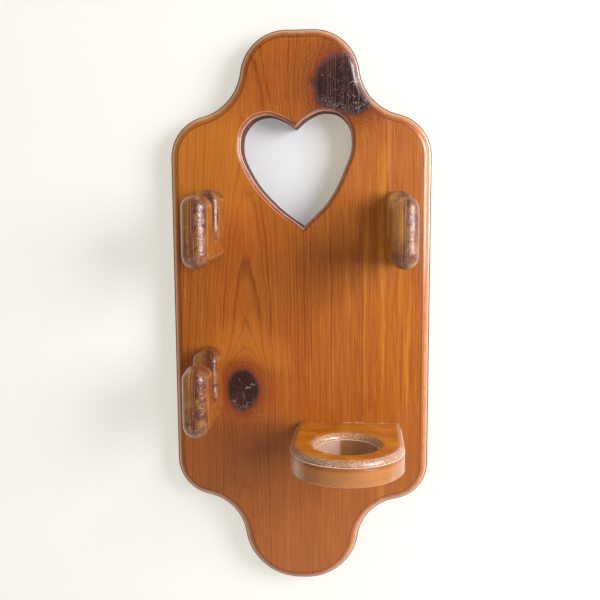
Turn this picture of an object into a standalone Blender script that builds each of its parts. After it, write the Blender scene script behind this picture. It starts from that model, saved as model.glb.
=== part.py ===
"""Knotty-pine wall rack: a scalloped board with a heart cut-out, three open hooks and a ring shelf.

Metres, +Z up. The rack hangs on a wall behind it: the back of the board is the plane y = 0 and its
front faces -Y. z = 0 is half-way up the board's straight sides. Left and right are as seen from
the front. Depths are measured forward from the front of the board.
"""
import math

import bmesh
import bpy

# Board: the stock's width and thickness, then the shaped ends as runs of tangent arcs.
BOARD_WIDTH = 0.184
BOARD_THICKNESS = 0.019
SIDE_HALF_LENGTH = 0.110
TOP_END = {"corner": 0.030, "corner_turn": 76.4, "cove": 0.0363, "cove_turn": 68.5, "shoulder": 0.0325}
BOTTOM_END = {"corner": 0.028, "corner_turn": 79.2, "cove": 0.0343, "cove_turn": 71.1, "shoulder": 0.040}
BOARD_ROUND = 0.0064
HEART_ROUND = 0.0030

# Heart cut-out: points (x, z) round the inner wall from the notch, down the left side to the tip
# and up the right side. It was sawn by hand, so its halves differ.
HEART_NOTCH = (-0.0028, 0.1302)
HEART_LEFT = [(-0.0125, 0.1362), (-0.0235, 0.1390), (-0.0356, 0.1335), (-0.0411, 0.1190),
              (-0.0350, 0.0995), (-0.0172, 0.0770)]
HEART_TIP = (0.0026, 0.0615)
HEART_RIGHT = [(0.0110, 0.0697), (0.0190, 0.0779), (0.0313, 0.1005), (0.0366, 0.1200),
               (0.0313, 0.1362), (0.0190, 0.1415), (0.0066, 0.1378)]
HEART_ZONE_HALF_WIDTH = 0.0460   # a box that holds the heart's edge and none of the board's
HEART_ZONE_TOP = 0.1460
HEART_ZONE_BOTTOM = 0.0595

# Hooks: a U of two prongs seen from the side. The outer edges are rounded almost to the middle and
# the edges of the slot less.
HOOK_THICKNESS = 0.0175
HOOK_DEPTH = 0.0655
HOOK_HEIGHT = 0.0500
HOOK_ROUND = 0.0080
SLOT_ROUND = 0.0040
REAR_PRONG = 0.0220
SLOT_WIDTH = 0.0175
SLOT_DEPTH = 0.0310
SLOT_CORNER = 0.0060
FRONT_DROP = 0.0040
TIP_CORNER = 0.0085
HEEL_CORNER = 0.0105
# Each hook: the x of its middle, the z of its top, how far its front turns outwards (degrees) and
# how far the front of its foot hangs below the back. They were sawn and fixed by hand.
HOOKS = {
    "upper_left_hook": (-0.0624, 0.0879, 0.0, 0.0017),
    "upper_right_hook": (0.0683, 0.0863, 2.6, 0.0),
    "lower_left_hook": (-0.0656, -0.0240, -1.4, 0.0015),
}

# Ring shelf: a D-shaped block with a round hole through it, concentric with its round end.
RING_X = 0.0350
RING_TOP = -0.0789
RING_WIDTH = 0.0758
RING_THICKNESS = 0.0168
RING_CENTRE_DEPTH = 0.0500
RING_HOLE_RADIUS = 0.0206
RING_ROUND = 0.0048

# Countersunk wood screws, driven from the back of the board.
SCREW_LENGTH = 0.032
SCREW_HEAD_RADIUS = 0.0042
SCREW_SHANK_RADIUS = 0.0021
SCREW_HEAD_DEPTH = 0.0025
SCREW_HEAD_RIM = 0.0004    # height of the upright rim above the countersunk cone
SCREW_POINT = 0.0060
SCREW_SUNK = 0.0006
SCREW_SLOT_WIDTH = 0.0010
SCREW_SLOT_DEPTH = 0.0009
HEAD_GROWTH = 1.5          # a bore's clearance round the head and under it, as shares of GAP
SEAT_GROWTH = 0.5
HOOK_SCREW_INSET = 0.0130
RING_SCREW_SPREAD = 0.0250

# Sawtooth hanger, nailed in a recess high on the back, over a pocket for the wall nail's head.
HANGER_Z = 0.1690
HANGER_WIDTH = 0.0460
HANGER_HEIGHT = 0.0095
HANGER_THICKNESS = 0.0010
HANGER_TEETH = 9
HANGER_TOOTH_WIDTH = 0.0028
HANGER_TOOTH_DEPTH = 0.0018
RECESS_DEPTH = 0.0036
RECESS_MARGIN = 0.0015
POCKET_WIDTH = 0.0280
POCKET_HEIGHT = 0.0085
POCKET_DEPTH = 0.0075
NAIL_SPREAD = 0.0190
NAIL_LENGTH = 0.0130
NAIL_HEAD_RADIUS = 0.0020
NAIL_HEAD_THICKNESS = 0.0007
NAIL_SHANK_RADIUS = 0.0007
NAIL_POINT = 0.0025

GAP = 0.0003               # clearance left between pieces that touch
OVERCUT = 0.0020           # how far a cutter runs past the face it opens
MERGE = 0.00001
ARC_STEP = math.radians(9)
SHARP_ANGLE = math.radians(60)
FLAT_ANGLE = math.radians(0.1)
SHADE_ANGLE = math.radians(35)
ROUND_SEGMENTS = 4
TURNED_SEGMENTS = 16
BOARD_FRONT = -BOARD_THICKNESS
SEAT = BOARD_FRONT - GAP   # the plane that hooks and shelf are fixed on

COLORS = {
    "pine": ((0.39, 0.125, 0.022), 0.30, 0.0),
    "hook_pine": ((0.20, 0.060, 0.020), 0.32, 0.0),
    "shelf_pine": ((0.45, 0.165, 0.030), 0.28, 0.0),
    "zinc_steel": ((0.55, 0.54, 0.52), 0.35, 1.0),
    "brass_steel": ((0.52, 0.43, 0.25), 0.35, 1.0),
}


def clear_scene():
    for item in list(bpy.data.objects):
        bpy.data.objects.remove(item)


def collection(name):
    group = bpy.data.collections.new(name)
    bpy.context.scene.collection.children.link(group)
    return group


def material(name):
    color, roughness, metallic = COLORS[name]
    made = bpy.data.materials.get(name) or bpy.data.materials.new(name)
    made.use_nodes = True
    shader = made.node_tree.nodes["Principled BSDF"]
    shader.inputs["Base Color"].default_value = (*color, 1.0)
    shader.inputs["Roughness"].default_value = roughness
    shader.inputs["Metallic"].default_value = metallic
    made.diffuse_color = (*color, 1.0)
    return made


def add_part(name, mesh, material_name, location=(0, 0, 0), rotation=(0, 0, 0)):
    part = bpy.data.objects.new(name, mesh)
    part.location = location
    part.rotation_euler = rotation
    part.parent = ROOT
    mesh.materials.clear()
    mesh.materials.append(material(material_name))
    PARTS.objects.link(part)
    return part


def add_cutter(name, mesh, location=(0, 0, 0), rotation=(0, 0, 0)):
    cutter = bpy.data.objects.new(name, mesh)
    cutter.location = location
    cutter.rotation_euler = rotation
    cutter.display_type = "WIRE"
    cutter.hide_render = True
    CUTTERS.objects.link(cutter)
    return cutter


def cut(part, cutter):
    boolean = part.modifiers.new(cutter.name, "BOOLEAN")
    boolean.operation = "DIFFERENCE"
    boolean.object = cutter
    boolean.solver = "EXACT"


def box_cutter(name, size, centre):
    bpy.ops.mesh.primitive_cube_add(size=1.0)
    cube = bpy.context.object
    mesh = cube.data
    bpy.data.objects.remove(cube)
    for vertex in mesh.vertices:
        vertex.co = [value * side for value, side in zip(vertex.co, size)]
    return add_cutter(name, mesh, location=centre)


def outline_mesh(name, outlines, thickness):
    """A flat plate with the given outlines, extruded both ways along its local z."""
    curve = bpy.data.curves.new(name, "CURVE")
    curve.dimensions = "2D"
    curve.fill_mode = "BOTH"
    curve.extrude = thickness / 2
    for kind, points in outlines:
        add_spline(curve, kind, points)
    holder = bpy.data.objects.new(name, curve)
    CUTTERS.objects.link(holder)
    graph = bpy.context.evaluated_depsgraph_get()
    mesh = bpy.data.meshes.new_from_object(holder.evaluated_get(graph))
    bpy.data.objects.remove(holder)
    bpy.data.curves.remove(curve)
    weld_flat_faces(mesh)
    return mesh


def add_spline(curve, kind, points):
    spline = curve.splines.new("BEZIER" if kind == "smooth" else "POLY")
    spline.use_cyclic_u = True
    if kind != "smooth":
        spline.points.add(len(points) - 1)
        for knot, (x, y) in zip(spline.points, points):
            knot.co = (x, y, 0, 1)
        return
    spline.resolution_u = 4
    spline.bezier_points.add(len(points) - 1)
    for knot, (x, y, handle) in zip(spline.bezier_points, points):
        knot.co = (x, y, 0)
        knot.handle_left_type = handle
        knot.handle_right_type = handle


def weld_flat_faces(mesh):
    """Join a curve's loose caps to its sides and clear the diagonals inside each flat face."""
    form = bmesh.new()
    form.from_mesh(mesh)
    bmesh.ops.remove_doubles(form, verts=form.verts, dist=MERGE)
    bmesh.ops.dissolve_limit(form, angle_limit=FLAT_ANGLE, verts=form.verts, edges=form.edges)
    bmesh.ops.recalc_face_normals(form, faces=form.faces)
    form.to_mesh(mesh)
    form.free()


def weigh_rims(mesh, height, weight_at):
    """Give the rim edges in the plane local z = height a bevel weight, found at their middle."""
    form = bmesh.new()
    form.from_mesh(mesh)
    layer = form.edges.layers.float.get("bevel_weight_edge")
    if layer is None:
        layer = form.edges.layers.float.new("bevel_weight_edge")
    for edge in form.edges:
        flat = all(abs(vertex.co.z - height) < MERGE for vertex in edge.verts)
        if flat and edge.calc_face_angle(0.0) > SHARP_ANGLE:
            middle = (edge.verts[0].co + edge.verts[1].co) / 2
            edge[layer] = weight_at(middle)
    form.to_mesh(mesh)
    form.free()


def round_rims(part, radius):
    bevel = part.modifiers.new("rounded edges", "BEVEL")
    bevel.limit_method = "WEIGHT"
    bevel.width = radius
    bevel.segments = ROUND_SEGMENTS
    bevel.use_clamp_overlap = False


def follow_arcs(start, heading, moves):
    """Points along tangent arcs. Each move is (radius, turn); a positive turn bends to the left."""
    x, y = start
    points = [start]
    for radius, turn in moves:
        side = math.copysign(1.0, turn)
        centre_x = x - side * radius * math.sin(heading)
        centre_y = y + side * radius * math.cos(heading)
        steps = max(2, round(abs(turn) / ARC_STEP))
        for step in range(1, steps + 1):
            angle = heading + turn * step / steps
            points.append((centre_x + side * radius * math.sin(angle),
                           centre_y - side * radius * math.cos(angle)))
        heading += turn
        x, y = points[-1]
    return points


def board_end(shape):
    """The right half of one shaped end, from the straight side to the flat of its crown."""
    corner_turn = math.radians(shape["corner_turn"])
    cove_turn = math.radians(shape["cove_turn"])
    last_turn = math.pi / 2 - corner_turn + cove_turn
    moves = [(shape["corner"], corner_turn), (shape["cove"], -cove_turn), (shape["shoulder"], last_turn)]
    return follow_arcs((BOARD_WIDTH / 2, SIDE_HALF_LENGTH), math.pi / 2, moves)


def board_outline():
    top = board_end(TOP_END)
    bottom = board_end(BOTTOM_END)
    top_left = [(-x, z) for x, z in reversed(top)]
    bottom_left = [(-x, -z) for x, z in bottom]
    bottom_right = [(x, -z) for x, z in reversed(bottom)]
    return top + top_left + bottom_left + bottom_right


def heart_outline():
    def smooth(points):
        return [(x, z, "AUTO") for x, z in points]
    notch = [(*HEART_NOTCH, "VECTOR")]
    tip = [(*HEART_TIP, "VECTOR")]
    return notch + smooth(HEART_LEFT) + tip + smooth(HEART_RIGHT)


def build_board():
    outlines = [("straight", board_outline()), ("smooth", heart_outline())]
    mesh = outline_mesh("back_board", outlines, BOARD_THICKNESS)

    def weight_at(middle):
        beside = abs(middle.x) < HEART_ZONE_HALF_WIDTH
        level = HEART_ZONE_BOTTOM < middle.y < HEART_ZONE_TOP
        return HEART_ROUND / BOARD_ROUND if beside and level else 1.0

    weigh_rims(mesh, BOARD_THICKNESS / 2, weight_at)
    upright = (math.radians(90), 0, 0)
    board = add_part("back_board", mesh, "pine", (0, -BOARD_THICKNESS / 2, 0), upright)
    round_rims(board, BOARD_ROUND)
    return board


def hook_outline(foot_drop):
    """Side view of a hook: local x is the depth from its seat, local y the height above its foot."""
    buried = -2 * HOOK_ROUND
    tip = math.pi / 2
    front_top = HOOK_HEIGHT - FRONT_DROP
    slot_front = REAR_PRONG + SLOT_WIDTH
    slot_bottom = HOOK_HEIGHT - SLOT_DEPTH
    inside = [(SLOT_CORNER, -tip)]
    heel = follow_arcs((HOOK_DEPTH - HEEL_CORNER, -foot_drop), 0, [(HEEL_CORNER, tip)])
    front_tip = follow_arcs((HOOK_DEPTH, front_top - TIP_CORNER), tip, [(TIP_CORNER, tip)])
    front_back = follow_arcs((slot_front + TIP_CORNER, front_top), math.pi, [(TIP_CORNER, tip)])
    slot = follow_arcs((slot_front, slot_bottom + SLOT_CORNER), -tip, inside)
    slot += follow_arcs((REAR_PRONG + SLOT_CORNER, slot_bottom), math.pi, inside)
    rear_tip = follow_arcs((REAR_PRONG, HOOK_HEIGHT - TIP_CORNER), tip, [(TIP_CORNER, tip)])
    back = [(buried, HOOK_HEIGHT), (buried, 0)]
    return heel + front_tip + front_back + slot + rear_tip + back


def hook_weight(middle):
    """Full rounding outside, less in the slot, and a gradual change over the tips of the prongs."""
    if middle.x < -HOOK_ROUND:
        return 0.0
    slot_front = REAR_PRONG + SLOT_WIDTH
    if middle.y < HOOK_HEIGHT - SLOT_DEPTH - MERGE:
        return 1.0
    outside = max(REAR_PRONG - middle.x, middle.x - slot_front) / TIP_CORNER
    in_slot = SLOT_ROUND / HOOK_ROUND
    return in_slot + (1 - in_slot) * min(1.0, max(0.0, outside))


def build_hook(name, middle, top, turn, foot_drop):
    mesh = outline_mesh(name, [("straight", hook_outline(foot_drop))], HOOK_THICKNESS)
    for side in (-1, 1):
        weigh_rims(mesh, side * HOOK_THICKNESS / 2, hook_weight)
    outward = math.radians(turn) * math.copysign(1.0, middle)
    forward = (math.radians(90), 0, math.radians(-90) + outward)
    hook = add_part(name, mesh, "hook_pine", (middle, SEAT, top - HOOK_HEIGHT), forward)
    round_rims(hook, HOOK_ROUND)
    behind = 4 * HOOK_ROUND
    size = (4 * HOOK_THICKNESS, behind, 2 * HOOK_HEIGHT)
    centre = (middle, SEAT + behind / 2, top - HOOK_HEIGHT / 2)
    cut(hook, box_cutter(f"{name}_seat_cut", size, centre))
    return hook


def ring_outline():
    half = RING_WIDTH / 2
    centre = SEAT - RING_CENTRE_DEPTH
    end = follow_arcs((-half, centre), -math.pi / 2, [(half, math.pi)])
    return [(-half, SEAT)] + end + [(half, SEAT)]


def build_ring_shelf():
    centre = SEAT - RING_CENTRE_DEPTH
    hole = follow_arcs((RING_HOLE_RADIUS, centre), math.pi / 2, [(RING_HOLE_RADIUS, 2 * math.pi)])[:-1]
    mesh = outline_mesh("ring_shelf", [("straight", ring_outline()), ("straight", hole)], RING_THICKNESS)
    weigh_rims(mesh, RING_THICKNESS / 2, lambda point: 1.0 if point.y < SEAT - MERGE else 0.0)
    shelf = add_part("ring_shelf", mesh, "shelf_pine", (RING_X, 0, RING_TOP - RING_THICKNESS / 2))
    round_rims(shelf, RING_ROUND)
    return shelf


def turned_mesh(name, profile):
    """A solid of revolution about local z from (radius, z) points that run down its outer side."""
    mesh = bpy.data.meshes.new(name)
    edges = [(index, index + 1) for index in range(len(profile) - 1)]
    mesh.from_pydata([(radius, 0, z) for radius, z in profile], edges, [])
    holder = bpy.data.objects.new(name, mesh)
    CUTTERS.objects.link(holder)
    screw = holder.modifiers.new("turn", "SCREW")
    screw.steps = screw.render_steps = TURNED_SEGMENTS
    screw.use_merge_vertices = True
    screw.merge_threshold = MERGE
    graph = bpy.context.evaluated_depsgraph_get()
    turned = bpy.data.meshes.new_from_object(holder.evaluated_get(graph))
    bpy.data.objects.remove(holder)
    turned.set_sharp_from_angle(angle=SHADE_ANGLE)
    return turned


def screw_profile(grow):
    """Countersunk screw from the middle of its head at z = 0 down to its point, or its bore."""
    head = SCREW_HEAD_RADIUS + HEAD_GROWTH * grow
    shank = SCREW_SHANK_RADIUS + grow
    head_end = -SCREW_HEAD_DEPTH - SEAT_GROWTH * grow
    mouth = OVERCUT if grow else 0.0
    return [(0, mouth), (head, mouth), (head, -SCREW_HEAD_RIM), (shank, head_end),
            (shank, SCREW_POINT - SCREW_LENGTH), (0, -SCREW_LENGTH - grow * 2)]


def nail_profile(grow):
    shank = NAIL_SHANK_RADIUS + grow
    if grow:
        top = [(0, OVERCUT), (shank, OVERCUT)]
    else:
        top = [(0, 0), (NAIL_HEAD_RADIUS, 0), (NAIL_HEAD_RADIUS, -NAIL_HEAD_THICKNESS),
               (shank, -NAIL_HEAD_THICKNESS)]
    return top + [(shank, NAIL_POINT - NAIL_LENGTH), (0, -NAIL_LENGTH - grow * 2)]


def build_screw(name, x, z, board, fixed):
    """One screw, its bore through the board and its pilot hole in the piece it fixes."""
    along_y = (math.radians(-90), 0, 0)
    place = (x, -SCREW_SUNK, z)
    bore = add_cutter(f"{name}_bore", turned_mesh(f"{name}_bore", screw_profile(GAP)), place, along_y)
    cut(board, bore)
    cut(fixed, bore)
    screw = add_part(name, turned_mesh(name, screw_profile(0)), "zinc_steel", place, along_y)
    slot_size = (3 * SCREW_HEAD_RADIUS, 2 * SCREW_SLOT_DEPTH, SCREW_SLOT_WIDTH)
    cut(screw, box_cutter(f"{name}_slot", slot_size, place))


def build_hanger_plate():
    """A steel strip whose lower edge is cut into a row of teeth."""
    half = HANGER_WIDTH / 2
    low = -HANGER_HEIGHT / 2
    row = HANGER_TEETH * HANGER_TOOTH_WIDTH
    teeth = []
    for index in range(HANGER_TEETH + 1):
        x = -row / 2 + index * HANGER_TOOTH_WIDTH
        teeth.append((x, low))
        if index < HANGER_TEETH:
            teeth.append((x + HANGER_TOOTH_WIDTH / 2, low + HANGER_TOOTH_DEPTH))
    strip = [(-half, low)] + teeth + [(half, low), (half, -low), (-half, -low)]
    mesh = outline_mesh("sawtooth_hanger", [("straight", strip)], HANGER_THICKNESS)
    upright = (math.radians(90), 0, 0)
    place = (0, GAP - RECESS_DEPTH + HANGER_THICKNESS / 2, HANGER_Z)
    return add_part("sawtooth_hanger", mesh, "brass_steel", place, upright)


def build_hanger(board):
    hanger = build_hanger_plate()
    recess_width = HANGER_WIDTH + 2 * RECESS_MARGIN
    recess_height = HANGER_HEIGHT + 2 * RECESS_MARGIN
    recess = box_cutter("hanger_recess", (recess_width, 2 * RECESS_DEPTH, recess_height), (0, 0, HANGER_Z))
    pocket_z = HANGER_Z - HANGER_HEIGHT / 2 - POCKET_HEIGHT / 2 + HANGER_TOOTH_DEPTH
    pocket = box_cutter("nail_head_pocket", (POCKET_WIDTH, 2 * POCKET_DEPTH, POCKET_HEIGHT),
                        (0, 0, pocket_z))
    cut(board, recess)
    cut(board, pocket)
    head_top = 2 * GAP - RECESS_DEPTH + HANGER_THICKNESS + NAIL_HEAD_THICKNESS
    along_y = (math.radians(-90), 0, 0)
    for side, x in (("left", -NAIL_SPREAD), ("right", NAIL_SPREAD)):
        name = f"hanger_nail_{side}"
        place = (x, head_top, HANGER_Z)
        bore = add_cutter(f"{name}_bore", turned_mesh(f"{name}_bore", nail_profile(GAP)), place, along_y)
        cut(board, bore)
        cut(hanger, bore)
        add_part(name, turned_mesh(name, nail_profile(0)), "zinc_steel", place, along_y)


def build_rack():
    board = build_board()
    for name, (middle, top, turn, foot_drop) in HOOKS.items():
        hook = build_hook(name, middle, top, turn, foot_drop)
        build_screw(f"{name}_screw_top", middle, top - HOOK_SCREW_INSET, board, hook)
        build_screw(f"{name}_screw_bottom", middle, top - HOOK_HEIGHT + HOOK_SCREW_INSET, board, hook)
    shelf = build_ring_shelf()
    shelf_middle = RING_TOP - RING_THICKNESS / 2
    build_screw("ring_shelf_screw_left", RING_X - RING_SCREW_SPREAD, shelf_middle, board, shelf)
    build_screw("ring_shelf_screw_right", RING_X + RING_SCREW_SPREAD, shelf_middle, board, shelf)
    build_hanger(board)


clear_scene()
PARTS = collection("razor_stand")
CUTTERS = collection("cutters")
ROOT = bpy.data.objects.new("razor_stand_frame", None)
PARTS.objects.link(ROOT)
build_rack()
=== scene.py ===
import math

import bmesh
import bpy
from mathutils import Matrix, Vector


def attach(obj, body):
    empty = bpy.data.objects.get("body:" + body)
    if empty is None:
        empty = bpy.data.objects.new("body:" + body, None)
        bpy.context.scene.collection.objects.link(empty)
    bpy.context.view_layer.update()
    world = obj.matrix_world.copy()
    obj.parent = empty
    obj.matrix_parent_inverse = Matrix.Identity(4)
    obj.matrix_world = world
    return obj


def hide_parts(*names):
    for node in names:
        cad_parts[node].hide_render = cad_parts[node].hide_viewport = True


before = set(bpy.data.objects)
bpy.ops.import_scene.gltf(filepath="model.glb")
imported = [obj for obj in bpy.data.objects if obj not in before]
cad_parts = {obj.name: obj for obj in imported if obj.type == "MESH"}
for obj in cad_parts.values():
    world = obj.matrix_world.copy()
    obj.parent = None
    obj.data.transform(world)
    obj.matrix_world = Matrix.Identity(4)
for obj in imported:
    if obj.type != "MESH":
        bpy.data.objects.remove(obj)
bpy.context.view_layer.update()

# ---------------------------------------------------------------------------------------------
# Back board
# One plank of knotty pine, scroll-sawn to a scalloped outline with a heart through it. The front
# edges are routed to a quarter round that ends in a small ledge, and the whole board is stained
# honey-orange and varnished. The arrises are worn through to pale wood.
# ---------------------------------------------------------------------------------------------
BOARD_WIDTH = 0.184
BOARD_THICKNESS = 0.019
SIDE_HALF_LENGTH = 0.110
TOP_END = {"corner": 0.030, "corner_turn": 76.4, "cove": 0.0363, "cove_turn": 68.5, "shoulder": 0.0325}
BOTTOM_END = {"corner": 0.028, "corner_turn": 79.2, "cove": 0.0343, "cove_turn": 71.1, "shoulder": 0.040}
BOARD_ROUND = 0.0064
BOARD_LEDGE = 0.0014
HEART_ROUND = 0.0030
HEART_LEDGE = 0.0007
HEART_NOTCH = (-0.0028, 0.1302)
HEART_LEFT = [(-0.0125, 0.1362), (-0.0235, 0.1390), (-0.0356, 0.1335), (-0.0411, 0.1190),
              (-0.0350, 0.0995), (-0.0172, 0.0770)]
HEART_TIP = (0.0026, 0.0615)
HEART_RIGHT = [(0.0110, 0.0697), (0.0190, 0.0779), (0.0313, 0.1005), (0.0366, 0.1200),
               (0.0313, 0.1362), (0.0190, 0.1415), (0.0066, 0.1378)]
BACK_ARRIS = 0.0004
ARC_STEP = math.radians(3)
ROUND_STEPS = 9
SUPPORT = 0.0005           # width of the flat strip that keeps a rounding's shading off the face
GAP = 0.0003               # the clearance that stands for glue and for a drilled hole's slack
SEAT = -BOARD_THICKNESS - GAP
SHARP_ANGLE = math.radians(38)


def srgb(red, green, blue):
    """A colour given as it looks on a screen, 0 to 255, as the renderer's linear colour."""
    def linear(value):
        value /= 255
        return value / 12.92 if value <= 0.04045 else ((value + 0.055) / 1.055) ** 2.4
    return (linear(red), linear(green), linear(blue), 1.0)


def follow_arcs(start, heading, moves):
    """Points along tangent arcs. Each move is (radius, turn); a positive turn bends to the left."""
    x, y = start
    points = [start]
    for radius, turn in moves:
        side = math.copysign(1.0, turn)
        centre_x = x - side * radius * math.sin(heading)
        centre_y = y + side * radius * math.cos(heading)
        steps = max(2, round(abs(turn) / ARC_STEP))
        for step in range(1, steps + 1):
            angle = heading + turn * step / steps
            points.append((centre_x + side * radius * math.sin(angle),
                           centre_y - side * radius * math.cos(angle)))
        heading += turn
        x, y = points[-1]
    return points


def board_end(shape):
    """The right half of one shaped end, from the straight side to the flat of its crown."""
    corner_turn = math.radians(shape["corner_turn"])
    cove_turn = math.radians(shape["cove_turn"])
    last_turn = math.pi / 2 - corner_turn + cove_turn
    moves = [(shape["corner"], corner_turn), (shape["cove"], -cove_turn), (shape["shoulder"], last_turn)]
    return follow_arcs((BOARD_WIDTH / 2, SIDE_HALF_LENGTH), math.pi / 2, moves)


def board_outline():
    top = board_end(TOP_END)
    bottom = board_end(BOTTOM_END)
    top_left = [(-x, z) for x, z in reversed(top)]
    bottom_left = [(-x, -z) for x, z in bottom]
    bottom_right = [(x, -z) for x, z in reversed(bottom)]
    return clean_loop(top + top_left + bottom_left + bottom_right)


def heart_outline():
    """The sawn heart, a smooth closed curve with a corner at its notch and one at its tip."""
    knots = [(*HEART_NOTCH, "VECTOR")] + [(x, z, "AUTO") for x, z in HEART_LEFT]
    knots += [(*HEART_TIP, "VECTOR")] + [(x, z, "AUTO") for x, z in HEART_RIGHT]
    curve = bpy.data.curves.new("heart", "CURVE")
    spline = curve.splines.new("BEZIER")
    spline.use_cyclic_u = True
    spline.resolution_u = 12
    spline.bezier_points.add(len(knots) - 1)
    for point, (x, z, handle) in zip(spline.bezier_points, knots):
        point.co = (x, z, 0)
        point.handle_left_type = point.handle_right_type = handle
    holder = bpy.data.objects.new("heart", curve)
    bpy.context.scene.collection.objects.link(holder)
    bpy.context.view_layer.update()
    points = [(vertex.co.x, vertex.co.y) for vertex in holder.to_mesh().vertices]
    bpy.data.objects.remove(holder)
    return points


def clean_loop(points):
    """Drops points that repeat the one before, round a closed outline."""
    kept = []
    for point in points:
        if not kept or math.dist(point, kept[-1]) > 1e-6:
            kept.append(point)
    if math.dist(kept[0], kept[-1]) < 1e-6:
        kept.pop()
    return kept


def inward_normals(points):
    """For each point of an outline with wood on its left, the mitred step into the wood."""
    steps = []
    for index, point in enumerate(points):
        before = Vector(point) - Vector(points[index - 1])
        after = Vector(points[(index + 1) % len(points)]) - Vector(point)
        first = Vector((-before.y, before.x)).normalized()
        second = Vector((-after.y, after.x)).normalized()
        middle = (first + second).normalized()
        steps.append(middle / max(0.4, middle.dot(first)))
    return steps


def stepped_round(radius, ledge):
    """Rows (inset, drop, run) of a quarter round that ends in a ledge; run goes from 0 to 1."""
    span = radius - ledge
    rows = [(radius + SUPPORT, 0.0, 0.0)]
    for step in range(ROUND_STEPS + 1):
        angle = math.pi / 2 * step / ROUND_STEPS
        run = 0.8 * step / ROUND_STEPS
        rows.append((radius - span * math.sin(angle), span * (1 - math.cos(angle)), run))
    for inset, drop, run in ((0.86, 0.10, 0.82), (0.30, 0.16, 0.88), (0.06, 0.34, 0.94), (0.0, 0.70, 1.0)):
        rows.append((ledge * inset, span + ledge * drop, run))
    return rows


def routed_edge(radius, ledge, thickness, arris):
    """The rows of a routed front edge, the sawn side behind it and the small arris at the back."""
    return stepped_round(radius, ledge) + [(0.0, thickness - arris, 1.0), (arris, thickness, 1.0)]


def loft(form, outline, rows, place, weights=None, kind=0.0):
    """Joins rows of an outline into a wall. place(point, drop) turns a flat point into a vertex.

    Each vertex keeps how far round the edge it is, and the kind of edge it belongs to.
    """
    run_layer = form.verts.layers.float.get("edge_run") or form.verts.layers.float.new("edge_run")
    kind_layer = form.verts.layers.float.get("edge_kind") or form.verts.layers.float.new("edge_kind")
    normals = inward_normals(outline)
    weights = weights or [1.0] * len(outline)
    loops = []
    for inset, drop, run in rows:
        loop = []
        for point, normal, weight in zip(outline, normals, weights):
            flat = Vector(point) + normal * inset * weight
            vertex = form.verts.new(place(flat, drop * weight))
            vertex[run_layer] = run
            vertex[kind_layer] = kind
            loop.append(vertex)
        loops.append(loop)
    for upper, lower in zip(loops, loops[1:]):
        for index in range(len(upper)):
            following = (index + 1) % len(upper)
            form.faces.new((upper[index], upper[following], lower[following], lower[index]))
    return loops[0], loops[-1]


def cap(form, *loops):
    """Fills the flat face between the given rims."""
    edges = []
    for loop in loops:
        edges += [form.edges.get((loop[index - 1], loop[index])) for index in range(len(loop))]
    bmesh.ops.triangle_fill(form, use_beauty=True, edges=edges)


def new_object(name, data):
    made = bpy.data.objects.new(name, data)
    bpy.context.scene.collection.objects.link(made)
    return made


def close_form(name, form):
    """Turns a finished form into a mesh object whose faces point outwards."""
    bmesh.ops.recalc_face_normals(form, faces=form.faces)
    mesh = bpy.data.meshes.new(name)
    form.to_mesh(mesh)
    form.free()
    return new_object(name, mesh)


def add_piece(name, form, material):
    bmesh.ops.remove_doubles(form, verts=form.verts, dist=1e-6)
    piece = close_form(name, form)
    piece.data.shade_smooth()
    piece.data.set_sharp_from_angle(angle=SHARP_ANGLE)
    piece.data.materials.append(material)
    return piece


def hand_over(piece, slot, *nodes):
    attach(piece, "root")
    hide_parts(*nodes)


def plain_mesh(piece):
    """Applies a piece's modifiers and leaves one plain mesh."""
    graph = bpy.context.evaluated_depsgraph_get()
    mesh = bpy.data.meshes.new_from_object(piece.evaluated_get(graph))
    piece.modifiers.clear()
    piece.data = mesh
    return piece


def cut_holes(piece, cutters):
    """Takes the cutters out of a piece and removes them."""
    for cutter in cutters:
        boolean = piece.modifiers.new(cutter.name, "BOOLEAN")
        boolean.operation = "DIFFERENCE"
        boolean.object = cutter
        boolean.solver = "EXACT"
    plain_mesh(piece)


def turned_cutter(name, profile, place):
    """A round cutter along y from (radius, depth) points, widest at the back."""
    form = bmesh.new()
    rings = []
    for radius, depth in profile:
        rings.append([form.verts.new((place[0] + radius * math.cos(math.tau * step / 32),
                                      place[1] - depth,
                                      place[2] + radius * math.sin(math.tau * step / 32)))
                      for step in range(32)])
    for upper, lower in zip(rings, rings[1:]):
        for index in range(32):
            form.faces.new((upper[index - 1], upper[index], lower[index], lower[index - 1]))
    form.faces.new(rings[0])
    form.faces.new(rings[-1])
    return close_form(name, form)


def box_cutter(name, low, high):
    form = bmesh.new()
    bmesh.ops.create_cube(form, size=1.0)
    for vertex in form.verts:
        vertex.co = [high[i] if vertex.co[i] > 0 else low[i] for i in range(3)]
    return close_form(name, form)


# Shader building: arithmetic with nodes, then the effects that several finishes share.
class Field:
    """One output of a node. Fields add, subtract, multiply and divide as numbers do."""
    def __init__(self, tree, socket):
        self.tree, self.socket = tree, socket

    def beside(self, name):
        """Another output of the same node."""
        return Field(self.tree, self.socket.node.outputs[name])

    def __add__(self, other):
        return calc(self.tree, "ADD", self, other)

    def __sub__(self, other):
        return calc(self.tree, "SUBTRACT", self, other)

    def __rsub__(self, other):
        return calc(self.tree, "SUBTRACT", other, self)

    def __mul__(self, other):
        return calc(self.tree, "MULTIPLY", self, other)

    def __truediv__(self, other):
        return calc(self.tree, "DIVIDE", self, other)


def plug(sockets, values):
    """Gives each named socket a field to follow, or a plain value."""
    for key, value in values.items():
        if isinstance(value, Field):
            value.tree.links.new(value.socket, sockets[key])
        elif value is not None:
            sockets[key].default_value = value


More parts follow.
